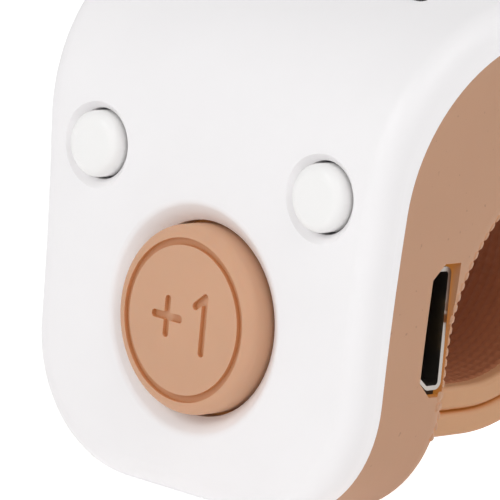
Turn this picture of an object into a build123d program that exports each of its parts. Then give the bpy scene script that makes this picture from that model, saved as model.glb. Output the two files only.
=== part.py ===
from build123d import *
import math
import os

# Finger-worn digital tally counter, in millimetres.
# The pieces are drawn in the face frame: +X to the right of the front face, +Y from the face
# towards the finger, +Z up, with the big button's centre on the face plane as origin.
# They are moved to the row frame when they are written: the origin is then the middle of the
# bounding box's underside.

# Outer skin of the head, seen from the side
bottom_z = -11.08
bend_z = 10.05
bend_radius = 11.5
top_slope = 13.0
top_reach = 17.1
back_y = 8.35
arch_start_z = 0.0
arch_radius = 12.6
# Outer skin of the head, seen from the front
half_width_bottom = 14.02
flare_mid = 0.33
flare_top = 2.88
width_mid_z = 6.6
bottom_corner_radius = 8.5
rear_corner_radius = 5.0
rim_radius = 1.6
saddle_edge_radius = 1.4
overrun = 2.0

# White cover and its openings
cover_wall = 2.24
cover_bend_radius = 10.7
dish_radius = 7.1
dish_depth = 0.95
count_hole_radius = 6.0
small_dish_radius = 2.75
small_dish_depth = 0.52
small_hole_radius = 2.22
dish_edge_radius = 0.6

# Display stack under the top skin
window_start = -1.88
window_length = 13.6
window_width = 19.66
window_corner_radius = 0.45
lens_gap = 0.06
lens_thickness = 0.9
view_margin = 2.43
gasket_thickness = 0.4
gasket_rim = 0.55
display_thickness = 1.5
display_margin = 0.55
display_corner_radius = 0.5
pad_thickness = 0.35
pad_length = 7.0
battery_start = 2.2
battery_end_gap = 0.19
battery_width = 18.0
battery_thickness = 3.2
battery_edge_radius = 0.7

# Silicone body and the plastic frame inside it
silicone_wall = 0.8
silicone_back_wall = 0.65
silicone_rear_wall = 1.6
frame_gap = 0.08
frame_wall = 0.7
frame_floor = 0.6

# Buttons: the big one, then the two small ones
count_cap_radius = 5.8
count_proud = 0.84
count_edge_radius = 0.75
count_flange_radius = 6.7
groove_radius = 5.02
groove_width = 0.45
engrave_depth = 0.3
mark_stroke = 0.5
plus_size = 2.6
plus_x = -1.35
digit_height = 3.9
digit_x = 1.75
flag_length = 1.5
flag_angle = 40.0
small_button_inset = 4.52
small_button_z = 9.16
small_cap_radius = 2.06
small_proud = 0.55
small_edge_radius = 0.6
small_flange_radius = 2.55
flange_gap = 0.12
flange_thickness = 0.42
nub_radius = 1.5

# Circuit board and its switches
board_front_y = 4.3
board_thickness = 0.8
board_gap = 0.25
board_top_z = 12.4
switch_size = 3.6
switch_height = 0.85
switch_floor = 0.1
stem_radius = 0.95
stem_gap = 0.06
stem_proud = 0.55
stem_length = 0.85
dome_radius = 0.85
dome_rise = 0.42
dome_thickness = 0.08

# Screws that hold the board to the cover's posts
screw_low_inset = 5.42
screw_low_z = -6.2
screw_high_inset = 8.42
screw_high_z = 10.9
screw_radius = 0.65
screw_gap = 0.15
screw_fit = 0.03
screw_head_radius = 1.2
screw_head_height = 0.7
screw_bite = 1.6
screw_tip_gap = 0.25
post_radius = 1.35
cross_length = 1.4
cross_width = 0.3
cross_depth = 0.35

# Micro-USB socket in the right side
usb_z = 1.65
usb_wide = 7.5
usb_narrow = 5.6
usb_height = 2.45
usb_straight = 1.25
usb_wall = 0.28
usb_corner_radius = 0.5
usb_length = 5.0
usb_recess = 0.46
usb_clearance = 0.15
usb_block_length = 1.2
tongue_width = 3.7
tongue_thickness = 0.6
tongue_length = 3.0
tongue_front_gap = 0.75
contact_count = 5
contact_pitch = 0.65
contact_width = 0.35
contact_thickness = 0.1
slot_low_z = -2.5
slot_high_z = 5.7
slot_front_y = 5.4
slot_chamfer = 0.95

# Chips, connector and leads on the rear of the board
controller_size = 5.0
controller_height = 0.9
controller_x = -4.2
controller_z = -1.8
charger_length = 2.9
charger_width = 1.6
charger_height = 1.1
charger_x = 3.2
charger_z = -4.6
crystal_length = 5.0
crystal_radius = 0.9
crystal_inset = 2.32
crystal_z = 3.3
capacitor_length = 1.6
capacitor_width = 0.8
capacitor_height = 0.8
capacitor_x = 1.2
capacitor_low_z = -1.6
capacitor_pitch = 1.5
capacitor_count = 4
connector_width = 9.0
connector_height = 1.1
connector_length = 2.4
connector_z = 7.9
ribbon_width = 7.5
ribbon_thickness = 0.15
ribbon_bend_radius = 0.45
ribbon_attach = 1.7
ribbon_drop_y = 7.0
ribbon_tail = 1.8
lead_radius = 0.3
lead_bend_radius = 0.9
lead_inset = 0.4
lead_pitch = 1.0
lead_count = 2
lead_drop_y = 6.6
lead_low_z = 6.2

# Two-piece strap round the finger
strap_width = 16.0
strap_thickness = 1.5
strap_gap = 0.15
strap_edge_radius = 0.35
strap_tip_radius = 5.5
loop_y = 16.8
loop_z = 4.7
loop_inner_radius = 8.5
upper_tip_gap = 1.15
upper_arc_end = 30.0
upper_root_depth = 1.4
lower_arc_end = 18.0
root_flange = 0.9
root_lip = 1.0
root_gap = 0.05
stud_shaft_radius = 1.0
stud_hole_gap = 0.08
stud_inner_radius = 1.9
stud_inner_thickness = 0.5
stud_cover = 0.5
stud_outer_radius = 1.6
stud_outer_thickness = 0.8
stud_edge_radius = 0.25
first_hole_angle = -7.0
hole_pitch_angle = 25.0
hole_count = 4
stud_holes = (1, 2)

# Shares of a direction that tell a face that looks one way
facing_share = 0.05
level_share = 0.99

# Places worked out from the sizes above
slope = math.radians(top_slope)
half_width_mid = half_width_bottom + flare_mid
half_width_top = half_width_bottom + flare_top
bend_end_y = bend_radius * (1 - math.sin(slope))
bend_end_z = bend_z + bend_radius * math.cos(slope)
rear_y = bend_end_y + top_reach
rear_top_z = bend_end_z + top_reach * math.tan(slope)
arch_y = back_y + arch_radius
arch_top_z = arch_start_z + arch_radius
middle_ring_radius = loop_inner_radius + strap_thickness + strap_gap
outer_ring_radius = middle_ring_radius + strap_thickness
rear_most_y = loop_y + outer_ring_radius
stud_start_radius = loop_inner_radius + stud_cover
stud_seat_radius = stud_start_radius + stud_inner_thickness
cavity_back_y = back_y - silicone_back_wall
cavity_half_width = half_width_bottom - silicone_wall
cavity_corner_radius = bottom_corner_radius - silicone_wall
frame_inset = frame_gap + frame_wall
board_half_width = cavity_half_width - frame_inset - board_gap
board_low_z = bottom_z + silicone_wall + frame_inset + board_gap
board_corner_radius = cavity_corner_radius - frame_inset - board_gap
small_button_x = half_width_bottom - small_button_inset
screw_low_x = half_width_bottom - screw_low_inset
screw_high_x = half_width_bottom - screw_high_inset
crystal_x = crystal_inset - board_half_width
lead_x = lead_inset - battery_width / 2
board_back_y = board_front_y + board_thickness
pocket_depth = lens_gap + lens_thickness
view_start = window_start + view_margin
view_length = window_length - 2 * view_margin
view_width = window_width - 2 * view_margin
display_start = view_start - display_margin
display_length = view_length + 2 * display_margin
display_width = view_width + 2 * display_margin
display_top = cover_wall + gasket_thickness
pad_top = display_top + display_thickness
battery_top = pad_top + pad_thickness
floor_top = battery_top + battery_thickness
floor_bottom = floor_top + frame_floor
pocket_reach = top_reach - silicone_rear_wall - frame_inset - floor_bottom * math.sin(slope)
battery_length = pocket_reach / math.cos(slope) - battery_start - battery_end_gap
switch_front_y = board_front_y - switch_height
switch_floor_y = board_front_y - switch_floor
stem_front_y = switch_front_y - stem_proud
flange_front_y = cover_wall + flange_gap
flange_back_y = flange_front_y + flange_thickness
usb_mouth_x = half_width_bottom + flare_mid / 2 - usb_recess
usb_back_y = board_back_y + usb_height
screw_places = [(-screw_low_x, screw_low_z), (screw_low_x, screw_low_z)]
screw_places += [(-screw_high_x, screw_high_z), (screw_high_x, screw_high_z)]

os.makedirs("parts", exist_ok=True)


def disc(x, z, y_low, y_high, radius, end_radius=None):
    """Round piece or cone along Y, from y_low to y_high."""
    plane = Plane(origin=(x, y_low, z), x_dir=(1, 0, 0), z_dir=(0, 1, 0))
    seat = (Align.CENTER, Align.CENTER, Align.MIN)
    if end_radius is None:
        return plane * Cylinder(radius, y_high - y_low, align=seat)
    return plane * Cone(radius, end_radius, y_high - y_low, align=seat)


def block(x_low, x_high, y_low, y_high, z_low, z_high):
    """Box between two corners."""
    middle = ((x_low + x_high) / 2, (y_low + y_high) / 2, (z_low + z_high) / 2)
    return Pos(*middle) * Box(x_high - x_low, y_high - y_low, z_high - z_low)


def side_prism(edges, half_width):
    """Solid of a closed outline in the side view, its points given as (y, z)."""
    return extrude(Plane.YZ * make_face(edges), amount=half_width, both=True)


def top_plane(depth, along):
    """Plane parallel to the sloping top, a depth below the skin and a way back up the slope."""
    y = bend_end_y + depth * math.sin(slope) + along * math.cos(slope)
    z = bend_end_z - depth * math.cos(slope) + along * math.sin(slope)
    return Plane(origin=(0, y, z), x_dir=(1, 0, 0), z_dir=(0, -math.sin(slope), math.cos(slope)))


def top_slab(width, start, length, depth_high, depth_low, corner=0.0):
    """Slab parallel to the top, between two depths."""
    outline = Rectangle(width, length)
    if corner:
        outline = fillet(outline.vertices(), corner)
    return extrude(top_plane(depth_low, start + length / 2) * outline, amount=depth_low - depth_high)


def rim_edges(solid, faces_test):
    """Outer edges of the patch that is made of the faces that pass a test."""
    edges = [edge for face in solid.faces().filter_by(faces_test) for edge in face.edges()]
    return [edge for edge in edges if sum(edge.is_same(other) for other in edges) == 1]


def normal_of(face):
    """Outward direction at the middle of a face."""
    return face.normal_at(face.position_at(0.5, 0.5))


def on_front_skin(face):
    """True for the front, the bend and the top of the head."""
    normal = normal_of(face)
    return normal.Y < -facing_share and abs(normal.X) < facing_share


def on_saddle(face):
    """True for the back, the arch and the underside, where the finger lies."""
    normal = normal_of(face)
    arch_side = normal.Y > facing_share and abs(normal.X) < facing_share
    underside = normal.Z < -level_share and face.center().Z > arch_start_z
    return (arch_side and face.center().Y < arch_y) or underside


def bend_outline(inset, radius, low_z, high_y):
    """Front, bend and top in the side view, inset from the skin, the bend of a given radius."""
    mid = math.radians(90 + top_slope + (90 - top_slope) / 2)
    centre_y = inset + radius
    centre_z = bend_z - (centre_y - bend_radius) * (1 - math.sin(slope)) / math.cos(slope)
    start = (inset, centre_z)
    end = (centre_y - radius * math.sin(slope), centre_z + radius * math.cos(slope))
    high = (high_y, end[1] + (high_y - end[0]) * math.tan(slope))
    middle = (centre_y + radius * math.cos(mid), centre_z + radius * math.sin(mid))
    edges = Line((inset, low_z), start) + ThreePointArc(start, middle, end) + Line(end, high)
    return edges, high


def front_outline():
    """Front view of the head: flat bottom, round lower corners, sides that flare upwards."""
    low = (half_width_bottom, bottom_z)
    mid = (half_width_mid, width_mid_z)
    high = (half_width_top, rear_top_z + overrun)
    edges = Line((-low[0], low[1]), low) + ThreePointArc(low, mid, high)
    edges += Line(high, (-high[0], high[1]))
    edges += ThreePointArc((-high[0], high[1]), (-mid[0], mid[1]), (-low[0], low[1]))
    face = make_face(edges)
    return Plane.XZ * fillet(face.vertices().sort_by(Axis.Y)[:2], bottom_corner_radius)


def make_head():
    """Whole head: what the side view and the front view have in common, its edges rounded."""
    edges, high = bend_outline(0, bend_radius, bottom_z, rear_y)
    arch_mid = arch_radius * math.sqrt(0.5)
    arch_middle = (arch_y - arch_mid, arch_start_z + arch_mid)
    edges += Line(high, (rear_y, arch_top_z)) + Line((rear_y, arch_top_z), (arch_y, arch_top_z))
    edges += ThreePointArc((arch_y, arch_top_z), arch_middle, (back_y, arch_start_z))
    edges += Line((back_y, arch_start_z), (back_y, bottom_z)) + Line((back_y, bottom_z), (0, bottom_z))
    head = side_prism(edges, half_width_top + overrun)
    head &= extrude(front_outline(), amount=rear_y + overrun, both=True)
    rear_edges = head.faces().sort_by(Axis.Y)[-1].edges().sort_by(Axis.X)
    head = fillet([rear_edges[0], rear_edges[-1]], rear_corner_radius)
    head = fillet(rim_edges(head, on_front_skin), rim_radius)
    return fillet(rim_edges(head, on_saddle), saddle_edge_radius)


def behind_cover(gap):
    """Everything behind the white cover, with a gap to it."""
    low_z = bottom_z - overrun
    far_y = rear_y + overrun
    edges, high = bend_outline(cover_wall + gap, cover_bend_radius - gap, low_z, far_y)
    edges += Line(high, (far_y, low_z)) + Line((far_y, low_z), (cover_wall + gap, low_z))
    return side_prism(edges, half_width_top + overrun)


def cavity(inset, wall_y, floor_depth):
    """Room inside the silicone: upright behind the face and sloping under the display."""
    half = cavity_half_width - inset
    upright = block(-half, half, 0, wall_y, bottom_z + silicone_wall + inset, bend_end_z)
    corners = upright.edges().filter_by(Axis.Y).group_by(Axis.Z)[0]
    upright = fillet(corners, cavity_corner_radius - inset)
    start = (cover_wall - bend_end_y) / math.cos(slope)
    end_y = rear_y - silicone_rear_wall - inset - floor_bottom * math.sin(slope)
    end = (end_y - bend_end_y) / math.cos(slope)
    return upright + top_slab(2 * half, start, end - start, 0, floor_depth)


def loop_strip(inner_radius, outer_radius, front_y, arc_end, straight=0.0, grow=0.0):
    """Strap layer in the side view: a flat run under the finger, an arc, and a straight end."""
    inner = inner_radius - grow
    outer = outer_radius + grow

    def ring(radius, angle):
        return (loop_y + radius * math.cos(angle), loop_z + radius * math.sin(angle))

    low = math.radians(-90)
    high = math.radians(arc_end)
    mid = (low + high) / 2
    reach = (-straight * math.sin(high), straight * math.cos(high))
    edges = Line((front_y, loop_z - inner), ring(inner, low))
    edges += ThreePointArc(ring(inner, low), ring(inner, mid), ring(inner, high))
    inner_end = ring(inner, high)
    outer_end = ring(outer, high)
    if straight:
        inner_end = (inner_end[0] + reach[0], inner_end[1] + reach[1])
        outer_end = (outer_end[0] + reach[0], outer_end[1] + reach[1])
        edges += Line(ring(inner, high), inner_end)
        edges += Line(outer_end, ring(outer, high))
    edges += Line(inner_end, outer_end)
    edges += ThreePointArc(ring(outer, high), ring(outer, mid), ring(outer, low))
    edges += Line(ring(outer, low), (front_y, loop_z - outer))
    edges += Line((front_y, loop_z - outer), (front_y, loop_z - inner))
    return side_prism(edges, strap_width / 2 + grow)


def finish_strap(strip, tip, thickness_direction):
    """Rounds a strap's tip in plan, and then its long edges."""
    seat = (Align.CENTER, Align.MIN)
    around = Rectangle(strap_width + 2 * overrun, strap_tip_radius + overrun, align=seat)
    around = Pos(0, -overrun) * around
    tongue = Rectangle(strap_width, 2 * strap_tip_radius, align=seat)
    tongue = fillet(tongue.vertices().group_by(Axis.Y)[0], strap_tip_radius)
    plane = Plane(origin=tip, x_dir=(1, 0, 0), z_dir=thickness_direction)
    strip -= extrude(plane * (around - tongue), amount=strap_tip_radius, both=True)
    edges = []
    for face in strip.faces():
        if abs(normal_of(face).X) > facing_share or (face.center() - tip).length < strap_thickness:
            edges += [edge for edge in face.edges() if edge.length > 2 * strap_thickness]
    return fillet(ShapeList(edges), strap_edge_radius)


def radial_pin(angle, radius, inner, outer):
    """Round piece along a radius of the loop, between two radii."""
    turn = math.radians(angle)
    direction = (0, math.cos(turn), math.sin(turn))
    origin = (0, loop_y + inner * direction[1], loop_z + inner * direction[2])
    plane = Plane(origin=origin, x_dir=(1, 0, 0), z_dir=direction)
    return plane * Cylinder(radius, outer - inner, align=(Align.CENTER, Align.CENTER, Align.MIN))


def make_cover(head):
    """White front and top shell with its button holes, window and screw posts."""
    cover = head - behind_cover(0)
    cover -= disc(0, 0, 0, dish_depth, dish_radius, count_hole_radius)
    cover -= disc(0, 0, 0, cover_wall + overrun, count_hole_radius)
    for x in (-small_button_x, small_button_x):
        cover -= disc(x, small_button_z, 0, small_dish_depth, small_dish_radius, small_hole_radius)
        cover -= disc(x, small_button_z, 0, cover_wall + overrun, small_hole_radius)
    circles = [edge for edge in cover.edges().filter_by(GeomType.CIRCLE) if edge.is_closed]
    dish_edges = [edge for edge in circles if abs(edge.arc_center.Y) < facing_share]
    cover = fillet(dish_edges, dish_edge_radius)
    for x in (-small_button_x, small_button_x):
        seat_radius = small_flange_radius + flange_gap
        cover -= disc(x, small_button_z, cover_wall, flange_back_y + flange_gap, seat_radius)
    corner = window_corner_radius
    cover -= top_slab(window_width, window_start, window_length, -overrun, pocket_depth, corner)
    cover -= top_slab(view_width, view_start, view_length, 0, cover_wall + overrun, corner)
    cover -= top_slab(display_width, display_start, display_length, cover_wall, display_top)
    for x, z in screw_places:
        cover += disc(x, z, dish_depth, board_front_y, post_radius)
        pilot_y = board_front_y - screw_bite - screw_tip_gap
        cover -= disc(x, z, pilot_y, board_front_y + overrun, screw_radius + screw_fit)
    return cover


def make_silicone_body(head):
    """Tan body: what lies behind the cover, less the room inside, the socket slot and strap slots."""
    body = head & behind_cover(0)
    body -= cavity(0, cavity_back_y, floor_bottom)
    body -= upper_layer(root_gap)
    body -= lower_layer(root_gap)
    slot = block(
        cavity_half_width - frame_wall, half_width_top + overrun,
        slot_front_y, cavity_back_y, slot_low_z, slot_high_z,
    )
    front_edges = slot.edges().filter_by(Axis.X).group_by(Axis.Y)[0]
    body -= chamfer(front_edges, slot_chamfer)
    seat = extrude(socket_outline(-usb_clearance), amount=usb_length + usb_clearance)
    return body - Pos(usb_mouth_x - usb_length - usb_clearance, 0, 0) * seat


def upper_layer(grow=0.0):
    """Inner strap layer, from its tip behind the head's back up to its root in the underside."""
    turn = math.radians(upper_arc_end)
    mid_radius = loop_inner_radius + strap_thickness / 2
    rise = arch_top_z + upper_root_depth - loop_z - mid_radius * math.sin(turn)
    outer = loop_inner_radius + strap_thickness
    tip_y = back_y + upper_tip_gap
    return loop_strip(loop_inner_radius, outer, tip_y, upper_arc_end, rise / math.cos(turn), grow)


def lower_layer(grow=0.0):
    """Outer strap layer, from its root in the head's back round to its tip behind the finger."""
    return loop_strip(middle_ring_radius, outer_ring_radius, cavity_back_y, lower_arc_end, grow=grow)


def make_upper_strap():
    """Inner strap layer with the studs' inner heads moulded in and holes for their shafts."""
    tip = Vector(0, back_y + upper_tip_gap, loop_z - loop_inner_radius - strap_thickness / 2)
    strap = finish_strap(upper_layer(), tip, (0, 0, 1))
    outer = middle_ring_radius + overrun
    for index in stud_holes:
        angle = first_hole_angle - index * hole_pitch_angle
        seat_radius = stud_inner_radius + stud_hole_gap
        strap -= radial_pin(angle, seat_radius, stud_start_radius, stud_seat_radius)
        strap -= radial_pin(angle, stud_shaft_radius + stud_hole_gap, stud_seat_radius, outer)
    return strap


def make_lower_strap():
    """Outer strap layer with its row of holes, and a root flange inside the head's back."""
    turn = math.radians(lower_arc_end)
    mid_radius = middle_ring_radius + strap_thickness / 2
    tip = Vector(0, loop_y + mid_radius * math.cos(turn), loop_z + mid_radius * math.sin(turn))
    strap = finish_strap(lower_layer(), tip, (0, math.cos(turn), math.sin(turn)))
    half = strap_width / 2
    strap += block(
        -half, half, cavity_back_y - root_flange, cavity_back_y,
        loop_z - outer_ring_radius - root_lip, loop_z - middle_ring_radius + root_lip,
    )
    for index in range(hole_count):
        angle = first_hole_angle - index * hole_pitch_angle
        outer = outer_ring_radius + overrun
        strap -= radial_pin(angle, stud_shaft_radius + stud_hole_gap, loop_inner_radius, outer)
    return strap


def make_studs():
    """Two studs that close the strap: an inner head, a shaft and a rounded outer head each."""
    studs = []
    for index in stud_holes:
        angle = first_hole_angle - index * hole_pitch_angle
        inner = radial_pin(angle, stud_inner_radius, stud_start_radius, stud_seat_radius)
        shaft = radial_pin(angle, stud_shaft_radius, stud_seat_radius, outer_ring_radius)
        top = outer_ring_radius + stud_outer_thickness
        head = radial_pin(angle, stud_outer_radius, outer_ring_radius, top)
        turn = math.radians(angle)
        outward = Axis((0, loop_y, loop_z), (0, math.cos(turn), math.sin(turn)))
        head = fillet(head.edges().sort_by(outward)[-1], stud_edge_radius)
        studs.append(inner + shaft + head)
    return studs


def make_lens():
    """Smoked window, let into the cover."""
    width = window_width - 2 * lens_gap
    length = window_length - 2 * lens_gap
    start = window_start + lens_gap
    return top_slab(width, start, length, lens_gap, pocket_depth, window_corner_radius - lens_gap)


def make_gasket():
    """Foam ring between the cover and the display."""
    inner_width = display_width - 2 * gasket_rim
    inner_length = display_length - 2 * gasket_rim
    outer = top_slab(display_width, display_start, display_length, cover_wall, display_top)
    inner_start = display_start + gasket_rim
    return outer - top_slab(inner_width, inner_start, inner_length, cover_wall, display_top)


def make_battery():
    """Flat lithium polymer cell with rounded long edges."""
    cell = top_slab(battery_width, battery_start, battery_length, battery_top, floor_top)
    return fillet(cell.edges().filter_by(Axis.X), battery_edge_radius)


def make_mid_frame():
    """Plastic frame that stiffens the silicone: a ring round the board and a floor for the battery."""
    frame = cavity(frame_gap, cavity_back_y - frame_gap, floor_bottom) & behind_cover(frame_gap)
    frame -= cavity(frame_inset, cavity_back_y + overrun, floor_top)
    side_gap = usb_wide / 2 + usb_clearance
    frame -= block(
        board_half_width, half_width_top, board_back_y - usb_clearance, cavity_back_y + overrun,
        usb_z - side_gap, usb_z + side_gap,
    )
    return frame


def make_board():
    """Circuit board with rounded lower corners and four screw holes."""
    half = board_half_width
    board = block(-half, half, board_front_y, board_back_y, board_low_z, board_top_z)
    board = fillet(board.edges().filter_by(Axis.Y).group_by(Axis.Z)[0], board_corner_radius)
    for x, z in screw_places:
        board -= disc(x, z, board_front_y - overrun, board_back_y + overrun, screw_radius + screw_gap)
    return board


def make_screws():
    """Four cross-head screws from the rear of the board into the cover's posts."""
    screws = []
    for x, z in screw_places:
        head_back_y = board_back_y + screw_head_height
        screw = disc(x, z, board_front_y - screw_bite, board_back_y, screw_radius)
        screw += disc(x, z, board_back_y, head_back_y, screw_head_radius)
        half = cross_length / 2
        thin = cross_width / 2
        floor_y = head_back_y - cross_depth
        screw -= block(x - half, x + half, floor_y, head_back_y + overrun, z - thin, z + thin)
        screw -= block(x - thin, x + thin, floor_y, head_back_y + overrun, z - half, z + half)
        screws.append(screw)
    return screws


def make_cap(x, z, radius, proud, edge_radius, flange_radius):
    """Button cap: a rounded disc, a flange behind the cover and a nub that meets the switch."""
    cap = disc(x, z, -proud, flange_back_y, radius)
    cap = fillet(cap.edges().filter_by(GeomType.CIRCLE).sort_by(Axis.Y)[0], edge_radius)
    cap += disc(x, z, flange_front_y, flange_back_y, flange_radius)
    return cap + disc(x, z, flange_back_y, stem_front_y, nub_radius)


def make_count_cap():
    """Big button with a ring groove and a plain plus one engraved in it."""
    cap = make_cap(0, 0, count_cap_radius, count_proud, count_edge_radius, count_flange_radius)
    floor_y = engrave_depth - count_proud
    front_y = -count_proud - overrun
    groove = disc(0, 0, front_y, floor_y, groove_radius)
    cap -= groove - disc(0, 0, front_y, floor_y, groove_radius - groove_width)
    plane = Plane(origin=(0, floor_y, 0), x_dir=(1, 0, 0), z_dir=(0, -1, 0))
    strokes = Pos(plus_x, 0) * SlotOverall(plus_size, mark_stroke)
    strokes += Pos(plus_x, 0) * SlotOverall(plus_size, mark_stroke, rotation=90)
    strokes += Pos(digit_x, 0) * SlotOverall(digit_height, mark_stroke, rotation=90)
    turn = math.radians(flag_angle)
    flag_reach = (flag_length - mark_stroke) / 2
    flag_top = (digit_height - mark_stroke) / 2
    flag_x = digit_x - flag_reach * math.cos(turn)
    flag_y = flag_top - flag_reach * math.sin(turn)
    strokes += Pos(flag_x, flag_y) * SlotOverall(flag_length, mark_stroke, rotation=flag_angle)
    return cap - extrude(plane * strokes, amount=engrave_depth + overrun)


def make_switch(x, z):
    """Base, stem and snap dome of one push switch on the front of the board."""
    half = switch_size / 2
    base = block(x - half, x + half, switch_front_y, board_front_y, z - half, z + half)
    base -= disc(x, z, switch_front_y - overrun, switch_floor_y, stem_radius + stem_gap)
    stem = disc(x, z, stem_front_y, stem_front_y + stem_length, stem_radius)
    ball_radius = (dome_radius ** 2 + dome_rise ** 2) / (2 * dome_rise)
    centre = Pos(x, switch_floor_y - dome_rise + ball_radius, z)
    dome = centre * (Sphere(ball_radius) - Sphere(ball_radius - dome_thickness))
    dome &= disc(x, z, switch_floor_y - dome_rise - overrun, switch_floor_y, dome_radius)
    return base, stem, dome


def socket_outline(inset):
    """Mouth of the socket in the side view: wide at the rear, narrowed by slanted corners in front."""
    wide = usb_wide / 2 - inset
    narrow = usb_narrow / 2 - inset * (usb_wide - usb_narrow) / usb_wide
    rear_y = usb_back_y - inset
    turn_y = usb_back_y - usb_straight
    front_y = board_back_y + inset
    points = [
        (rear_y, usb_z - wide), (rear_y, usb_z + wide), (turn_y, usb_z + wide),
        (front_y, usb_z + narrow), (front_y, usb_z - narrow), (turn_y, usb_z - wide),
    ]
    face = make_face(Polyline(*points, close=True))
    return Plane.YZ * fillet(face.vertices(), usb_corner_radius - inset)


def make_socket():
    """Shell, tongue and contacts of the charging socket."""
    start = Pos(usb_mouth_x - usb_length, 0, 0)
    shell = start * extrude(socket_outline(0), amount=usb_length)
    shell -= start * extrude(socket_outline(usb_wall), amount=usb_length + overrun)
    back_x = usb_mouth_x - usb_length
    tongue_y = board_back_y + tongue_front_gap
    half = tongue_width / 2
    tongue = start * extrude(socket_outline(usb_wall), amount=usb_block_length)
    tongue += block(
        back_x, back_x + usb_block_length + tongue_length,
        tongue_y, tongue_y + tongue_thickness, usb_z - half, usb_z + half,
    )
    contacts = []
    for index in range(contact_count):
        middle = usb_z + (index - (contact_count - 1) / 2) * contact_pitch
        contacts.append(block(
            back_x + usb_block_length, back_x + usb_block_length + tongue_length,
            tongue_y + tongue_thickness, tongue_y + tongue_thickness + contact_thickness,
            middle - contact_width / 2, middle + contact_width / 2,
        ))
    return shell, tongue, contacts


def on_board(x, z, width, height, length):
    """Block on the rear of the board, its middle at (x, z)."""
    half = width / 2
    high_y = board_back_y + height
    return block(x - half, x + half, board_back_y, high_y, z - length / 2, z + length / 2)


def make_crystal():
    """Crystal can that lies on the board."""
    plane = Plane(origin=(crystal_x, board_back_y + crystal_radius, crystal_z), z_dir=(0, 0, 1))
    return plane * Cylinder(crystal_radius, crystal_length)


def make_ribbon():
    """Flex ribbon from the display's rear down into its connector."""
    attach = top_plane(pad_top + ribbon_thickness / 2, display_start + ribbon_attach).origin
    lift = (attach.Y - ribbon_drop_y) * math.tan(slope)
    entry_y = board_back_y + connector_height / 2
    entry_z = connector_z + connector_length / 2
    points = [
        (0, attach.Y, attach.Z), (0, ribbon_drop_y, attach.Z - lift),
        (0, ribbon_drop_y, entry_z + ribbon_tail), (0, entry_y, entry_z + ribbon_tail / 2),
        (0, entry_y, entry_z),
    ]
    path = FilletPolyline(*points, radius=ribbon_bend_radius)
    start = Plane(origin=path @ 0, x_dir=(1, 0, 0), z_dir=path % 0)
    return sweep(start * Rectangle(ribbon_width, ribbon_thickness), path=path)


def make_leads():
    """Two battery leads that drop from the cell to the board."""
    leads = []
    front = top_plane(battery_top + battery_thickness / 2, battery_start).origin
    lift = (front.Y - lead_drop_y) * math.tan(slope)
    for index in range(lead_count):
        x = lead_x + index * lead_pitch
        points = [
            (x, front.Y, front.Z), (x, lead_drop_y, front.Z - lift),
            (x, lead_drop_y, lead_low_z), (x, board_back_y, lead_low_z),
        ]
        path = FilletPolyline(*points, radius=lead_bend_radius)
        start = Plane(origin=path @ 0, z_dir=path % 0)
        leads.append(sweep(start * Circle(lead_radius), path=path))
    return leads


head = make_head()
shell, tongue, contacts = make_socket()
pieces = {
    "front_cover": make_cover(head),
    "silicone_body": make_silicone_body(head),
    "mid_frame": make_mid_frame(),
    "display_lens": make_lens(),
    "display_gasket": make_gasket(),
    "display_module": top_slab(
        display_width, display_start, display_length, display_top, pad_top, display_corner_radius
    ),
    "display_ribbon": make_ribbon(),
    "battery_pad": top_slab(battery_width, battery_start, pad_length, pad_top, battery_top),
    "battery": make_battery(),
    "battery_leads": make_leads(),
    "main_board": make_board(),
    "board_screws": make_screws(),
    "controller_chip": on_board(
        controller_x, controller_z, controller_size, controller_height, controller_size
    ),
    "charger_chip": on_board(charger_x, charger_z, charger_length, charger_height, charger_width),
    "clock_crystal": make_crystal(),
    "capacitors": [
        on_board(
            capacitor_x, capacitor_low_z + index * capacitor_pitch,
            capacitor_length, capacitor_height, capacitor_width,
        )
        for index in range(capacitor_count)
    ],
    "ribbon_connector": on_board(0, connector_z, connector_width, connector_height, connector_length),
    "usb_shell": shell,
    "usb_tongue": tongue,
    "usb_contacts": contacts,
    "count_button": make_count_cap(),
    "upper_strap": make_upper_strap(),
    "lower_strap": make_lower_strap(),
    "strap_studs": make_studs(),
}
for name, x in (("reset", -small_button_x), ("light", small_button_x)):
    pieces[name + "_button"] = make_cap(
        x, small_button_z, small_cap_radius, small_proud, small_edge_radius, small_flange_radius
    )
switch_places = {
    "count": (0, 0),
    "reset": (-small_button_x, small_button_z),
    "light": (small_button_x, small_button_z),
}
for name, (x, z) in switch_places.items():
    base, stem, dome = make_switch(x, z)
    pieces[name + "_switch_base"] = base
    pieces[name + "_switch_stem"] = stem
    pieces[name + "_switch_dome"] = dome

to_row = Pos(0, -(rear_most_y - count_proud) / 2, -bottom_z)
for name, piece in pieces.items():
    solids = piece if isinstance(piece, list) else [piece]
    solids = [to_row * solid for item in solids for solid in item.solids()]
    shape = solids[0] if len(solids) == 1 else Compound(children=solids)
    export_step(shape, os.path.join("parts", name + ".step"))
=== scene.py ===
import bpy
import bmesh
import math
from collections import namedtuple
from mathutils import Euler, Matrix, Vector
from mathutils.bvhtree import BVHTree


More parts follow.
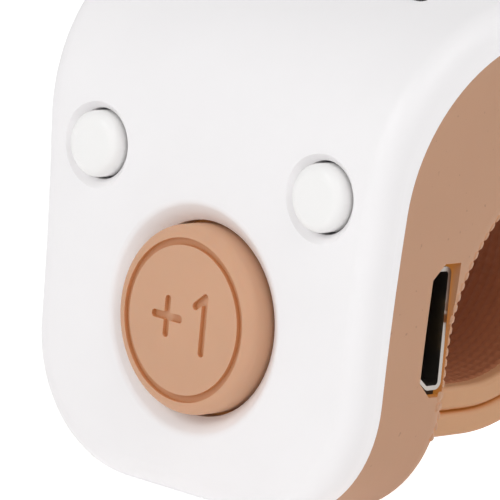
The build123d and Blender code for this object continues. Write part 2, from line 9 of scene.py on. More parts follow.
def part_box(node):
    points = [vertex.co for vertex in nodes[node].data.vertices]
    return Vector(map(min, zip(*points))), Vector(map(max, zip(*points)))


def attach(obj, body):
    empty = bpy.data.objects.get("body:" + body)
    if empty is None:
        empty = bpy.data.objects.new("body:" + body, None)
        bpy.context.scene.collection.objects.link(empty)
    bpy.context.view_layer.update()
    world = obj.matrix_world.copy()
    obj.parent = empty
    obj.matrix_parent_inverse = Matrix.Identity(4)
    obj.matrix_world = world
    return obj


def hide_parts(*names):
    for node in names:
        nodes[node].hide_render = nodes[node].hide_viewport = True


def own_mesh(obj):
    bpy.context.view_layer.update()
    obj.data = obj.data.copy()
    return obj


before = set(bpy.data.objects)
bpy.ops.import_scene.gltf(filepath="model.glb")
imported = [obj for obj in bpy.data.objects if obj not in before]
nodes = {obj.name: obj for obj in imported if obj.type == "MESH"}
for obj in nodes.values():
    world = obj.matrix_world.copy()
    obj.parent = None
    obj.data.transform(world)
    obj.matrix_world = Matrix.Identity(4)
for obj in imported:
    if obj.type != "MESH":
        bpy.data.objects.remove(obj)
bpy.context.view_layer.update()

# Lengths are written in millimetres, in the CAD frame, and turned into metres where Blender takes them
MM = 0.001
RIGHT = Vector((1, 0, 0))
REARWARD = Vector((0, 1, 0))
UP = Vector((0, 0, 1))

# Camera that was fitted to the photograph: its place, its turn in degrees, its lens and its sensor
CAMERA_PLACE = (203.898, -224.751, 66.498)
CAMERA_TURN = (80.124, -5.190, 44.325)
CAMERA_LENS = 355.398
SENSOR_WIDTH = 36.0
CLIP_NEAR = 10.0
CLIP_FAR = 20000.0

# Soft lamps: place, width and watts of each, and the point that all of them look at
LAMPS = {
    "key": ((-60, -335, 210), 210, 0.39),
    "fill": ((270, -140, 330), 240, 0.43),
    "back": ((240, 330, 260), 200, 0.40),
}
LAMP_TARGET = (0, 0, 16)

# Surroundings: the light that they give, and how bright the camera, mirrors and glass see them
WHITE = (1.0, 1.0, 1.0, 1.0)
WORLD_LIGHT = 0.43
WORLD_SEEN = 1.0

# Floor: half its width, its gap under the object, its surface, and the light of its own that turns it
# white for the camera, over the little that it gives to the object
FLOOR_HALF = 1500.0
FLOOR_GAP = 0.02
FLOOR_GREY = (0.9, 0.9, 0.9, 1.0)
FLOOR_ROUGHNESS = 0.9
FLOOR_SPECULAR = 0.1
FLOOR_LIFT = 0.6
FLOOR_BOUNCE = 0.18

# Lengths of the CAD model that its nodes' boxes give
REAR_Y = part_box("silicone_body")[1].y / MM
STRAP_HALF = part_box("upper_strap")[1].x / MM
STRAP_FRONT_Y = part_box("upper_strap")[0].y / MM

# Lengths of its saddle that no box gives: the flat back, the arch over it and the rounded edge
BACK_Y = -5.455
ARCH_Y = 7.145
ARCH_Z = 11.08
ARCH_RADIUS = ARCH_Y - BACK_Y
SADDLE_EDGE = 1.4

# The strap's inner side: the middle and radius of its loop, and where its arc ends, in degrees
LOOP_Y = 2.995
LOOP_Z = 15.78
LOOP_RADIUS = 8.5
LOOP_ARC_END = 30.0

# Share of its height that each snap dome keeps when its key is pressed
DOME_SHARES = {"count": 0.1, "reset": 0.3, "light": 0.3}

# Raised grid on the silicone: one bump or cushion to each pitch
PITCH = 0.65

# Bumps on the saddle: their rings as shares of radius and height, and how far these circles swell
# towards the corners of a square
BUMP_RADIUS = 0.32
BUMP_HEIGHT = 0.11
BUMP_SIDES = 8
BUMP_RING_SHARES = ((1.0, -0.3), (0.86, 0.3), (0.55, 0.82))
BUMP_SWELL_SHARE = 0.10
# A bump that points further than this share along X takes its sides from Y
BUMP_SIDEWAYS_SHARE = 0.7

# Rows of the saddle: where the first one lies, and how far they follow the rounded edge
SADDLE_START = 5.98
SADDLE_TURN = math.radians(72)

# Probes for the surface under a bump, from outside it, and for the head's side, from beyond it
PROBE_HEIGHT = 1.0
PROBE_LENGTH = 2.0
PROBE_TOLERANCE = 0.16
PROBE_SPREAD_SHARE = 0.75
SIDE_PROBE_START = 60.0
SIDE_PROBE_DEPTH = 0.25

# Cushions inside the strap: their height over a foot, bare margins, and steps and sharpness of the grid
LINING_HEIGHT = 0.14
LINING_FOOT = 0.03
LINING_START = 0.6
LINING_MARGIN = 0.6
LINING_TOP_GAP = 0.2
LINING_STEPS = 4
LINING_POWER = 4

# Digits: their size, how far they lean, and their middle's way up the display from its front edge
SHOWN = "0128"
SEGMENTS = {"0": "abcdef", "1": "bc", "2": "abdeg", "8": "abcdefg"}
DIGIT_HEIGHT = 5.0
DIGIT_WIDTH = 2.5
DIGIT_PITCH = 3.4
DIGIT_LEAN = 0.08
DIGIT_MIDDLE = 4.22
DIGIT_RISE = 0.03
SEGMENT_WIDTH = 0.5
SEGMENT_GAP = 0.08

# Charge sign beside the digits: a battery's outline with its tip, and bars inside
SIGN_LEFT = 4.3
SIGN_RIGHT = 6.7
SIGN_LOW = 7.5
SIGN_HIGH = 8.4
SIGN_WALL = 0.12
SIGN_TIP = 0.25
SIGN_TIP_INSET = 0.3
SIGN_BARS = 2
SIGN_BAR = 0.5
SIGN_BAR_PITCH = 0.65
SIGN_BAR_INSET = 0.25
SIGN_RISE = 0.02

# Faint clouds in a colour: their detail, where they turn dark and light, and the light side's share
CLOUD_DETAIL = 3.0
CLOUD_DARK_AT = 0.3
CLOUD_LIGHT_AT = 0.7
CLOUD_LIGHT_SHARE = 0.5

# Dust specks: how fine and how rare they are, and the share of the colour that is left in them
SPECK_SCALE = 2600.0
SPECK_DETAIL = 1.0
SPECK_START = 0.74
SPECK_FULL = 0.80
SPECK_SHARE = 0.25

# Detail of grain and of all other plain noise
PLAIN_DETAIL = 2.0

# Light that spreads under a soft surface: how deep, and its shares in red, green and blue
SPREAD_DEPTH = 0.9
SPREAD_SHARES = (1.0, 0.45, 0.25)

# Smoked window
WINDOW_CLEARNESS = 0.9
WINDOW_IOR = 1.45
WINDOW_ROUGHNESS = 0.06
WINDOW_CLOUD_SCALE = 90.0
WINDOW_DARK = (0.10, 0.10, 0.11, 1.0)
WINDOW_LIGHT = (0.14, 0.14, 0.15, 1.0)

# Lit segments of the display
LIT_STRENGTH = 6.0
LIT_CLOUD_SCALE = 400.0
LIT_DARK_SHARE = 0.8


def srgb(red, green, blue):
    """Linear colour from an sRGB colour of 0 to 255."""
    def linear(value):
        share = value / 255
        return share / 12.92 if share <= 0.04045 else ((share + 0.055) / 1.055) ** 2.4
    return (linear(red), linear(green), linear(blue), 1.0)


def scaled(colour, share):
    """Colour with its channels times a share, at most 1."""
    return tuple(min(1.0, channel * share) for channel in colour[:3]) + (1.0,)


# Painted shade in hollows: a deeper, redder colour laid where walls hide the open sky, in place of the
# shade and warm bounced light that silicone gets there. Fields: the shade's colour, how far off walls
# count, the shares of open sky where it starts and is full, the most of it, whether its own piece alone
# makes the walls, and whether a painted glow goes with it
PaintedShade = namedtuple("PaintedShade", "deep reach open_share closed_share most alone glows")
GROOVE_SHADE = PaintedShade(deep=srgb(158, 84, 34), reach=1.0, open_share=1.0, closed_share=0.3, most=0.55,
                alone=True, glows=True)
SEAM_SHADE = GROOVE_SHADE._replace(alone=False)
CAVITY_SHADE = PaintedShade(deep=srgb(112, 52, 26), reach=12.0, open_share=0.8, closed_share=0.4, most=0.8,
                alone=True, glows=False)
HOLLOW_SAMPLES = 12
# Colour of the painted glow in grooves and seams: orange light painted into the surface where no lamp
# shines
PAINTED_GLOW_COLOUR = srgb(205, 132, 52)


def new_material(name):
    """New node material; returns it with its node tree and its shader."""
    made = bpy.data.materials.new(name)
    made.use_nodes = True
    return made, made.node_tree, made.node_tree.nodes["Principled BSDF"]


def object_place(tree, stretch=None):
    """Place on the object, stretched if asked for."""
    place = tree.nodes.new("ShaderNodeTexCoord").outputs["Object"]
    if stretch is None:
        return place
    mapping = tree.nodes.new("ShaderNodeMapping")
    mapping.inputs["Scale"].default_value = stretch
    tree.links.new(place, mapping.inputs["Vector"])
    return mapping.outputs["Vector"]


def noise(tree, place, scale, detail):
    """Noise of 0 to 1 over a place."""
    made = tree.nodes.new("ShaderNodeTexNoise")
    made.inputs["Scale"].default_value = scale
    made.inputs["Detail"].default_value = detail
    tree.links.new(place, made.inputs["Vector"])
    return made.outputs["Fac"]


def clouds(tree, value, dark, light, dark_at=0.0, light_at=1.0):
    """Colour from dark to light over a value."""
    ramp = tree.nodes.new("ShaderNodeValToRGB")
    first, last = ramp.color_ramp.elements
    first.position = dark_at
    first.color = dark
    last.position = light_at
    last.color = light
    tree.links.new(value, ramp.inputs["Fac"])
    return ramp.outputs["Color"]


def ranged(tree, value, start, full, most):
    """Value brought from start and full to 0 and the most."""
    made = tree.nodes.new("ShaderNodeMapRange")
    made.inputs["From Min"].default_value = start
    made.inputs["From Max"].default_value = full
    made.inputs["To Max"].default_value = most
    tree.links.new(value, made.inputs["Value"])
    return made.outputs["Result"]


def painted(tree, base, over, share):
    """Base colour with a linked share of another colour over it."""
    mix = tree.nodes.new("ShaderNodeMix")
    mix.data_type = "RGBA"
    mix.inputs["B"].default_value = over
    tree.links.new(share, mix.inputs["Factor"])
    tree.links.new(base, mix.inputs["A"])
    return mix.outputs["Result"]


def math_node(tree, operation, first, *rest):
    """Result of an operation on a linked value and further values, linked or plain."""
    made = tree.nodes.new("ShaderNodeMath")
    made.operation = operation
    tree.links.new(first, made.inputs[0])
    for index, value in enumerate(rest, start=1):
        if isinstance(value, float):
            made.inputs[index].default_value = value
        else:
            tree.links.new(value, made.inputs[index])
    return made.outputs[0]


def painted_shade_share(tree, hollow):
    """Share of painted shade on a surface, from how much of the open sky nearby walls hide: 0 to the
    hollow's most.
    """
    sky = tree.nodes.new("ShaderNodeAmbientOcclusion")
    sky.samples = HOLLOW_SAMPLES
    sky.only_local = hollow.alone
    sky.inputs["Distance"].default_value = hollow.reach * MM
    return ranged(tree, sky.outputs["AO"], hollow.open_share, hollow.closed_share, hollow.most)


def surface(name, colour, roughness, specular=0.5, metallic=0.0, coat=0.0, subsurface=0.0,
            grain=0.0, grain_scale=1500.0, grain_depth=0.02, shade=0.06, shade_scale=120.0,
            stretch=(1.0, 1.0, 1.0), specks=0.0, painted_shades=(), glow=0.0):
    """Material with faint clouds, specks, painted shade in hollows, a painted glow in grooves and a fine
    grain.
    """
    made, tree, shader = new_material(name)
    shader.inputs["Roughness"].default_value = roughness
    shader.inputs["Specular IOR Level"].default_value = specular
    shader.inputs["Metallic"].default_value = metallic
    shader.inputs["Coat Weight"].default_value = coat
    if subsurface:
        shader.inputs["Subsurface Weight"].default_value = subsurface
        shader.inputs["Subsurface Radius"].default_value = SPREAD_SHARES
        shader.inputs["Subsurface Scale"].default_value = SPREAD_DEPTH * MM
    place = object_place(tree, stretch)
    base = clouds(tree, noise(tree, place, shade_scale, CLOUD_DETAIL), scaled(colour, 1 - shade),
                  scaled(colour, 1 + CLOUD_LIGHT_SHARE * shade), CLOUD_DARK_AT, CLOUD_LIGHT_AT)
    if specks:
        dots = noise(tree, place, SPECK_SCALE, SPECK_DETAIL)
        share = ranged(tree, dots, SPECK_START, SPECK_FULL, specks)
        base = painted(tree, base, scaled(colour, SPECK_SHARE), share)
    # Painted shade: deeper colour where walls hide the sky; where the hollow asks for it, also a painted
    # glow as strong as that shade
    for hollow in painted_shades:
        shade_share = painted_shade_share(tree, hollow)
        base = painted(tree, base, hollow.deep, shade_share)
        if glow and hollow.glows:
            shader.inputs["Emission Color"].default_value = PAINTED_GLOW_COLOUR
            tree.links.new(math_node(tree, "MULTIPLY", shade_share, glow), shader.inputs["Emission Strength"])
    tree.links.new(base, shader.inputs["Base Color"])
    if grain:
        bump = tree.nodes.new("ShaderNodeBump")
        bump.inputs["Strength"].default_value = grain
        bump.inputs["Distance"].default_value = grain_depth * MM
        tree.links.new(noise(tree, place, grain_scale, PLAIN_DETAIL), bump.inputs["Height"])
        tree.links.new(bump.outputs["Normal"], shader.inputs["Normal"])
    return made


def window_material():
    """Smoked clear plastic: dark where it is looked through, glossy on top."""
    made, tree, shader = new_material("smoked_window")
    shader.inputs["Transmission Weight"].default_value = WINDOW_CLEARNESS
    shader.inputs["IOR"].default_value = WINDOW_IOR
    shader.inputs["Roughness"].default_value = WINDOW_ROUGHNESS
    smoke = noise(tree, object_place(tree), WINDOW_CLOUD_SCALE, PLAIN_DETAIL)
    tree.links.new(clouds(tree, smoke, WINDOW_DARK, WINDOW_LIGHT), shader.inputs["Base Color"])
    return made


def lit_material(name, colour):
    """Lit segments of the display, a little uneven."""
    made, tree, shader = new_material(name)
    uneven = noise(tree, object_place(tree), LIT_CLOUD_SCALE, PLAIN_DETAIL)
    light = clouds(tree, uneven, scaled(colour, LIT_DARK_SHARE), colour)
    tree.links.new(light, shader.inputs["Base Color"])
    tree.links.new(light, shader.inputs["Emission Color"])
    shader.inputs["Emission Strength"].default_value = LIT_STRENGTH
    return made


def dress(material, *names):
    """Gives CAD nodes their material."""
    for name in names:
        slots = nodes[name].data.materials
        slots.clear()
        slots.append(material)


def paint_shell_and_keys():
    """White plastic of the cover and the small keys, and the big key's silicone."""
    dress(surface("white_plastic", srgb(247, 245, 246), 0.45, specular=0.4, grain=0.2, shade=0.015),
          "front_cover")
    dress(surface("white_button", srgb(247, 246, 245), 0.4, specular=0.4, grain=0.15, shade=0.015),
          "reset_button", "light_button")
    # The ring groove on the big key gets painted shade and a painted orange glow
    dress(surface("tan_button", srgb(210, 165, 135), 0.65, specular=0.15, subsurface=0.25, grain=0.35,
                  shade=0.04, painted_shades=(GROOVE_SHADE,), glow=0.3), "count_button")


def paint_display():
    """Window, display, its foam gasket and the pad under the battery, and the flex ribbon."""
    dress(window_material(), "display_lens")
    dress(surface("display", srgb(22, 24, 26), 0.2, coat=0.4, shade=0.2), "display_module")
    dress(surface("foam", srgb(38, 38, 40), 0.95, specular=0.1, grain=0.9, grain_scale=3500.0,
                  grain_depth=0.12, shade=0.35, shade_scale=2500.0), "display_gasket", "battery_pad")
    dress(surface("ribbon", srgb(196, 128, 44), 0.35, coat=0.3, shade=0.3, shade_scale=900.0,
                  stretch=(6.0, 1.0, 1.0)), "display_ribbon")


def paint_inside():
    """Battery with its leads, inner frame, board and the parts on it."""
    dress(surface("cell_foil", srgb(196, 198, 202), 0.3, metallic=0.85, grain=0.6, grain_scale=500.0,
                  grain_depth=0.05, shade=0.1), "battery")
    dress(surface("lead_insulation", srgb(176, 34, 28), 0.45, grain=0.2, shade=0.1), "battery_leads")
    dress(surface("frame_plastic", srgb(58, 58, 60), 0.6, grain=0.5, grain_scale=2200.0, shade=0.1),
          "mid_frame")
    dress(surface("board", srgb(22, 84, 52), 0.35, coat=0.4, shade=0.45, shade_scale=1400.0,
                  grain=0.3, grain_scale=1200.0), "main_board")
    dress(surface("chip", srgb(34, 34, 36), 0.55, grain=0.5, grain_scale=4000.0, shade=0.15),
          "controller_chip", "charger_chip")
    dress(surface("screw_steel", srgb(186, 187, 190), 0.28, metallic=1.0, grain=0.4, grain_scale=2500.0,
                  shade=0.12), "board_screws", "clock_crystal")
    dress(surface("capacitor", srgb(176, 148, 118), 0.5, shade=0.35, shade_scale=700.0), "capacitors")


def paint_socket_and_studs():
    """Charging socket, and the studs that close the strap."""
    dress(surface("socket_steel", srgb(168, 161, 155), 0.3, metallic=1.0, grain=0.5,
                  grain_scale=900.0, shade=0.25, stretch=(0.2, 1.0, 1.0)), "usb_shell")
    dress(surface("tongue_plastic", srgb(24, 23, 23), 0.5, grain=0.3, shade=0.2), "usb_tongue")
    dress(surface("contact_gold", srgb(226, 184, 102), 0.25, metallic=1.0, shade=0.15,
                  shade_scale=900.0), "usb_contacts")
    dress(surface("stud_steel", srgb(202, 202, 204), 0.3, metallic=1.0, grain=0.5, grain_scale=1800.0,
                  shade=0.1), "strap_studs")


def paint_switches():
    """Casing, stem and snap dome of each switch; the ribbon's connector is of the stems' plastic."""
    natural = surface("stem_plastic", srgb(224, 221, 211), 0.45, subsurface=0.2, shade=0.05)
    casing = surface("switch_plastic", srgb(36, 36, 38), 0.5, grain=0.4, grain_scale=3000.0, shade=0.15)
    spring = surface("dome_steel", srgb(208, 206, 200), 0.22, metallic=1.0, grain=0.3, shade=0.1)
    dress(natural, "ribbon_connector")
    for key in DOME_SHARES:
        dress(casing, key + "_switch_base")
        dress(natural, key + "_switch_stem")
        dress(spring, key + "_switch_dome")


def link_object(name, data):
    """New object in the scene."""
    made = bpy.data.objects.new(name, data)
    bpy.context.scene.collection.objects.link(made)
    return made


def add_piece(name, mesh, material, smooth):
    """Piece that rides on the housing, made of a bmesh, which is freed."""
    data = bpy.data.meshes.new(name)
    mesh.to_mesh(data)
    mesh.free()
    for face in data.polygons:
        face.use_smooth = smooth
    data.materials.append(material)
    piece = link_object(name, data)
    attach(piece, "housing")


def solid_tree(name):
    """Search tree of a CAD node's surface."""
    mesh = nodes[name].data
    return BVHTree.FromPolygons([vertex.co for vertex in mesh.vertices],
                                [tuple(face.vertices) for face in mesh.polygons])


def saddle_rows():
    """Rows of the saddle in the side view: place, outward direction, from the bottom up and back."""
    arch = ARCH_RADIUS * math.pi / 2
    flat = REAR_Y - ARCH_Y
    count = int((ARCH_Z + arch + flat - SADDLE_START - SADDLE_EDGE) / PITCH)
    for index in range(count):
        run = SADDLE_START + index * PITCH
        if run < ARCH_Z:
            yield Vector((0, BACK_Y, run)), REARWARD
        elif run < ARCH_Z + arch:
            turn = (run - ARCH_Z) / ARCH_RADIUS
            out = Vector((0, math.cos(turn), -math.sin(turn)))
            yield Vector((0, ARCH_Y, ARCH_Z)) - ARCH_RADIUS * out, out
        else:
            yield Vector((0, ARCH_Y + run - ARCH_Z - arch, ARCH_Z + ARCH_RADIUS)), -UP


def saddle_half_width(tree, row, out):
    """Half width of the head at a row, under its rounded edge, measured on the plain left side."""
    start = row - SIDE_PROBE_START * RIGHT - out * (SADDLE_EDGE + SIDE_PROBE_DEPTH)
    return -tree.ray_cast(start * MM, RIGHT)[0].x / MM


def sits(tree, place, direction, turn):
    """True where the surface lies at the expected height under a bump and, on the flat, all round it."""
    along = direction.cross(RIGHT).normalized()
    spread = PROBE_SPREAD_SHARE * BUMP_RADIUS if turn == 0 else 0.0
    for offset in (0 * RIGHT, spread * RIGHT, -spread * RIGHT, spread * along, -spread * along):
        start = place + offset + PROBE_HEIGHT * direction
        hit = tree.ray_cast(start * MM, -direction, PROBE_LENGTH * MM)
        if hit[0] is None or abs(hit[3] - PROBE_HEIGHT * MM) > PROBE_TOLERANCE * MM:
            return False
    return True


def add_bump(mesh, place, out):
    """One low round bump, its foot a little under the surface."""
    side = RIGHT if abs(out.x) < BUMP_SIDEWAYS_SHARE else REARWARD
    one = (side - side.dot(out) * out).normalized()
    two = out.cross(one)
    rings = []
    for reach, rise in BUMP_RING_SHARES:
        ring = []
        for step in range(BUMP_SIDES):
            turn = 2 * math.pi * step / BUMP_SIDES
            swell = 1 + BUMP_SWELL_SHARE * math.cos(4 * (turn - math.pi / 4))
            point = place + BUMP_RADIUS * reach * swell * (math.cos(turn) * one + math.sin(turn) * two)
            ring.append(mesh.verts.new((point + BUMP_HEIGHT * rise * out) * MM))
        rings.append(ring)
    top = mesh.verts.new((place + BUMP_HEIGHT * out) * MM)
    for step in range(BUMP_SIDES):
        after = (step + 1) % BUMP_SIDES
        for low, high in zip(rings, rings[1:]):
            mesh.faces.new((low[step], low[after], high[after], high[step]))
        mesh.faces.new((rings[-1][step], rings[-1][after], top))


def add_saddle_grid(material):
    """Bumps all over the saddle, their rows followed out over its rounded edge."""
    tree = solid_tree("silicone_body")
    mesh = bmesh.new()
    for row, out in saddle_rows():
        flat = saddle_half_width(tree, row, out) - SADDLE_EDGE
        steps = int((flat + SADDLE_EDGE * SADDLE_TURN) / PITCH)
        for step in range(-steps, steps + 1):
            run = abs(step) * PITCH
            side = RIGHT if step >= 0 else -RIGHT
            turn = max(0.0, (run - flat) / SADDLE_EDGE)
            reach = min(run, flat) + SADDLE_EDGE * math.sin(turn)
            place = row + reach * side - SADDLE_EDGE * (1 - math.cos(turn)) * out
            direction = (math.cos(turn) * out + math.sin(turn) * side).normalized()
            if sits(tree, place, direction, turn):
                add_bump(mesh, place, direction)
    add_piece("saddle_grid", mesh, material, smooth=True)


def strap_point(run):
    """Place on the strap's inner side and its direction towards the finger, a way from its tip."""
    arc = math.radians(90 + LOOP_ARC_END)
    flat = LOOP_Y - STRAP_FRONT_Y
    if run < flat:
        return Vector((0, STRAP_FRONT_Y + run, LOOP_Z - LOOP_RADIUS)), UP
    turn = min((run - flat) / LOOP_RADIUS, arc) - math.pi / 2
    out = -Vector((0, math.cos(turn), math.sin(turn)))
    along = Vector((0, -math.sin(turn), math.cos(turn)))
    past = max(0, run - flat - LOOP_RADIUS * arc)
    return Vector((0, LOOP_Y, LOOP_Z)) - LOOP_RADIUS * out + past * along, out


def cushion(step):
    """Height of the lining at a step of its grid: nought in its valleys and 1 on its cushions."""
    return 1 - math.cos(math.pi * step / LINING_STEPS) ** LINING_POWER


def add_lining(material):
    """Fine raised grid that is moulded on the strap's inner side, as one sheet."""
    end = math.radians(LOOP_ARC_END)
    top = ARCH_Z + ARCH_RADIUS - LINING_TOP_GAP
    straight = (top - LOOP_Z - LOOP_RADIUS * math.sin(end)) / math.cos(end)
    length = LOOP_Y - STRAP_FRONT_Y + LOOP_RADIUS * (math.pi / 2 + end) + straight
    rows = int((length - LINING_START) / PITCH) * LINING_STEPS
    half = int((STRAP_HALF - LINING_MARGIN) / PITCH) * LINING_STEPS
    mesh = bmesh.new()
    grid = []
    for row in range(rows + 1):
        place, out = strap_point(LINING_START + row * PITCH / LINING_STEPS)
        line = []
        for column in range(-half, half + 1):
            rise = LINING_FOOT + LINING_HEIGHT * cushion(row) * cushion(column)
            if row in (0, rows) or abs(column) == half:
                rise = -LINING_FOOT
            side = column * PITCH / LINING_STEPS * RIGHT
            line.append(mesh.verts.new((place + side + rise * out) * MM))
        grid.append(line)
    for low, high in zip(grid, grid[1:]):
        for column in range(2 * half):
            mesh.faces.new((low[column], low[column + 1], high[column + 1], high[column]))
    add_piece("strap_grid", mesh, material, smooth=True)


def add_domes():
    """Copies of the snap domes, each in the place of its rigid node, which is hidden."""
    for key, share in DOME_SHARES.items():
        node = key + "_switch_dome"
        dome = link_object(key + "_snap_dome", nodes[node].data.copy())
        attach(dome, "housing")
        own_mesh(dome)
        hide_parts(node)


def display_face():
    """Middle of the front edge of the display's face, and the ways up its slope and out of it."""
    low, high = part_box("display_module")
    above = Vector((0, (low.y + high.y) / 2, 2 * high.z))
    spot, out = solid_tree("display_module").ray_cast(above, -UP)[:2]
    slope = out.cross(RIGHT)
    return spot + (low.y - spot.y) / slope.y * slope, slope, out


def segment_outline(letter):
    """Six-cornered outline of one segment of a digit, around the digit's middle."""
    half_w = (DIGIT_WIDTH - SEGMENT_WIDTH) / 2
    half_h = (DIGIT_HEIGHT - SEGMENT_WIDTH) / 2
    ends = {
        "a": ((-half_w, half_h), (half_w, half_h)),
        "b": ((half_w, half_h), (half_w, 0)),
        "c": ((half_w, 0), (half_w, -half_h)),
        "d": ((half_w, -half_h), (-half_w, -half_h)),
        "e": ((-half_w, -half_h), (-half_w, 0)),
        "f": ((-half_w, 0), (-half_w, half_h)),
        "g": ((-half_w, 0), (half_w, 0)),
    }
    start, end = (Vector(point) for point in ends[letter])
    along = (end - start).normalized()
    across = Vector((-along.y, along.x)) * SEGMENT_WIDTH / 2
    tip = along * SEGMENT_GAP
    shoulder = along * (SEGMENT_GAP + SEGMENT_WIDTH / 2)
    return [start + tip, start + shoulder + across, end - shoulder + across,
            end - tip, end - shoulder - across, start + shoulder - across]


def digit_outlines():
    """Outlines of all lit segments, leaning to the right."""
    outlines = []
    for index, digit in enumerate(SHOWN):
        middle = (index - (len(SHOWN) - 1) / 2) * DIGIT_PITCH
        for letter in SEGMENTS[digit]:
            outlines.append([(middle + x + DIGIT_LEAN * y, DIGIT_MIDDLE + y)
                             for x, y in segment_outline(letter)])
    return outlines


def rectangle(left, right, low, high):
    """Outline of a rectangle."""
    return [(left, low), (right, low), (right, high), (left, high)]


def sign_outlines():
    """Outlines of the charge sign: four walls, the battery's tip and the bars inside."""
    outlines = [
        rectangle(SIGN_LEFT, SIGN_RIGHT, SIGN_LOW, SIGN_LOW + SIGN_WALL),
        rectangle(SIGN_LEFT, SIGN_RIGHT, SIGN_HIGH - SIGN_WALL, SIGN_HIGH),
        rectangle(SIGN_LEFT, SIGN_LEFT + SIGN_WALL, SIGN_LOW, SIGN_HIGH),
        rectangle(SIGN_RIGHT - SIGN_WALL, SIGN_RIGHT, SIGN_LOW, SIGN_HIGH),
        rectangle(SIGN_RIGHT, SIGN_RIGHT + SIGN_TIP, SIGN_LOW + SIGN_TIP_INSET,
                  SIGN_HIGH - SIGN_TIP_INSET),
    ]
    for index in range(SIGN_BARS):
        left = SIGN_LEFT + SIGN_BAR_INSET + index * SIGN_BAR_PITCH
        outlines.append(rectangle(left, left + SIGN_BAR, SIGN_LOW + SIGN_BAR_INSET,
                                  SIGN_HIGH - SIGN_BAR_INSET))
    return outlines


def add_flat_shapes(name, outlines, rise, material):
    """Thin raised shapes on the display's face, from outlines of places across and up it."""
    origin, slope, out = display_face()
    lift = rise * MM * out
    mesh = bmesh.new()
    for outline in outlines:
        places = [origin + (x * RIGHT + along * slope) * MM for x, along in outline]
        foot = [mesh.verts.new(place) for place in places]
        top = [mesh.verts.new(place + lift) for place in places]
        mesh.faces.new(top)
        for index, corner in enumerate(foot):
            after = (index + 1) % len(foot)
            mesh.faces.new((corner, foot[after], top[after], top[index]))
    bmesh.ops.recalc_face_normals(mesh, faces=mesh.faces)
    add_piece(name, mesh, material, smooth=False)


def add_camera():
    """Camera of the photograph; Blender takes its lens and its sensor in millimetres."""
    data = bpy.data.cameras.new("camera")
    data.lens = CAMERA_LENS
    data.sensor_width = SENSOR_WIDTH
    data.sensor_fit = "HORIZONTAL"
    data.clip_start = CLIP_NEAR * MM
    data.clip_end = CLIP_FAR * MM
    camera = link_object("camera", data)
    camera.location = Vector(CAMERA_PLACE) * MM
    camera.rotation_euler = Euler([math.radians(angle) for angle in CAMERA_TURN], "XYZ")
    bpy.context.scene.camera = camera


def add_lamp(name, place, width, watts):
    """Soft round lamp that looks at the target."""
    data = bpy.data.lights.new(name, "AREA")
    data.shape = "DISK"
    data.size = width * MM
    data.energy = watts
    lamp = link_object(name, data)
    lamp.location = Vector(place) * MM
    aim = Vector(LAMP_TARGET) * MM - lamp.location
    lamp.rotation_euler = aim.to_track_quat("-Z", "Y").to_euler()


def seen_strength(tree, strength, rest):
    """Strength for the rays of the camera, of mirrors and of glass, over that of the rest."""
    rays = tree.nodes.new("ShaderNodeLightPath")
    seen = rays.outputs["Is Camera Ray"]
    for name in ("Is Glossy Ray", "Is Transmission Ray"):
        seen = math_node(tree, "MAXIMUM", seen, rays.outputs[name])
    return math_node(tree, "MULTIPLY_ADD", seen, strength, rest)


def add_floor():
    """Pale floor that shows white to the camera but keeps the object's shadow."""
    half = FLOOR_HALF * MM
    mesh = bpy.data.meshes.new("floor")
    corners = [(-half, -half, 0), (half, -half, 0), (half, half, 0), (-half, half, 0)]
    mesh.from_pydata(corners, [], [(0, 1, 2, 3)])
    floor = link_object("floor", mesh)
    floor.location.z = -FLOOR_GAP * MM
    made, tree, shader = new_material("floor_white")
    shader.inputs["Base Color"].default_value = FLOOR_GREY
    shader.inputs["Roughness"].default_value = FLOOR_ROUGHNESS
    shader.inputs["Specular IOR Level"].default_value = FLOOR_SPECULAR
    shader.inputs["Emission Color"].default_value = WHITE
    tree.links.new(seen_strength(tree, FLOOR_LIFT, FLOOR_BOUNCE), shader.inputs["Emission Strength"])
    mesh.materials.append(made)


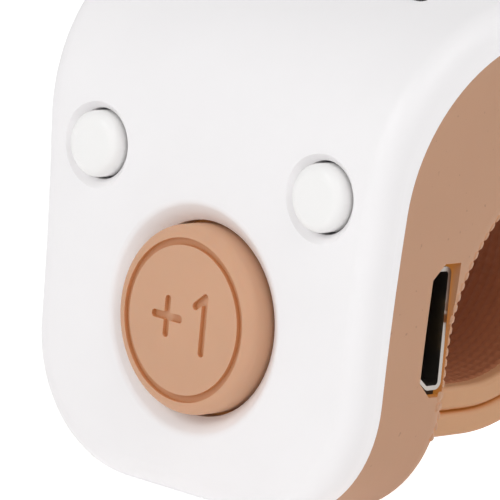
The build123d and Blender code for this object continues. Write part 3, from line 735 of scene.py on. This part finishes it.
def add_world():
    """Plain pale surroundings, white where the camera, a mirror or glass sees them."""
    world = bpy.data.worlds.new("world")
    world.use_nodes = True
    tree = world.node_tree
    light = tree.nodes["Background"]
    light.inputs["Color"].default_value = WHITE
    light.inputs["Strength"].default_value = WORLD_LIGHT
    seen = tree.nodes.new("ShaderNodeBackground")
    seen.inputs["Color"].default_value = WHITE
    seen.inputs["Strength"].default_value = WORLD_SEEN
    mix = tree.nodes.new("ShaderNodeMixShader")
    tree.links.new(seen_strength(tree, 1.0, 0.0), mix.inputs["Fac"])
    tree.links.new(light.outputs[0], mix.inputs[1])
    tree.links.new(seen.outputs[0], mix.inputs[2])
    tree.links.new(mix.outputs[0], tree.nodes["World Output"].inputs["Surface"])
    bpy.context.scene.world = world


# Tan silicone of the body, of the straps and of the grid inside them; the body and straps get painted
# shade in seams and inside the loop, and a painted glow in seams
tan = surface("tan_silicone", srgb(189, 147, 119), 0.6, specular=0.25, subsurface=0.15, grain=0.35,
              shade=0.03, specks=0.3, painted_shades=(SEAM_SHADE, CAVITY_SHADE), glow=0.75)
tan_strap = surface("tan_strap", srgb(204, 157, 119), 0.55, specular=0.3, subsurface=0.15, grain=0.35,
                    shade=0.04, painted_shades=(SEAM_SHADE, CAVITY_SHADE), glow=0.3)
# The grid's colour is darker and redder than the strap's: painted shade of the loop's inside
tan_lining_painted_shade = surface("tan_lining_painted_shade", srgb(168, 109, 77), 0.65, specular=0.2, grain=0.35, shade=0.06,
                     painted_shades=(CAVITY_SHADE,))
dress(tan, "silicone_body")
dress(tan_strap, "upper_strap", "lower_strap")
paint_shell_and_keys()
paint_display()
paint_inside()
paint_socket_and_studs()
paint_switches()

# Pieces too fine for the solids, and copies of the snap domes
add_saddle_grid(tan)
add_lining(tan_lining_painted_shade)
add_domes()
lit = lit_material("display_light", srgb(214, 236, 255))
add_flat_shapes("display_digits", digit_outlines(), DIGIT_RISE, lit)
add_flat_shapes("display_charge_sign", sign_outlines(), SIGN_RISE, lit)

# Stage
add_camera()
add_world()
add_floor()
for lamp_name, (lamp_place, lamp_width, lamp_watts) in LAMPS.items():
    add_lamp(lamp_name, lamp_place, lamp_width, lamp_watts)
bpy.context.scene.view_settings.view_transform = "Standard"
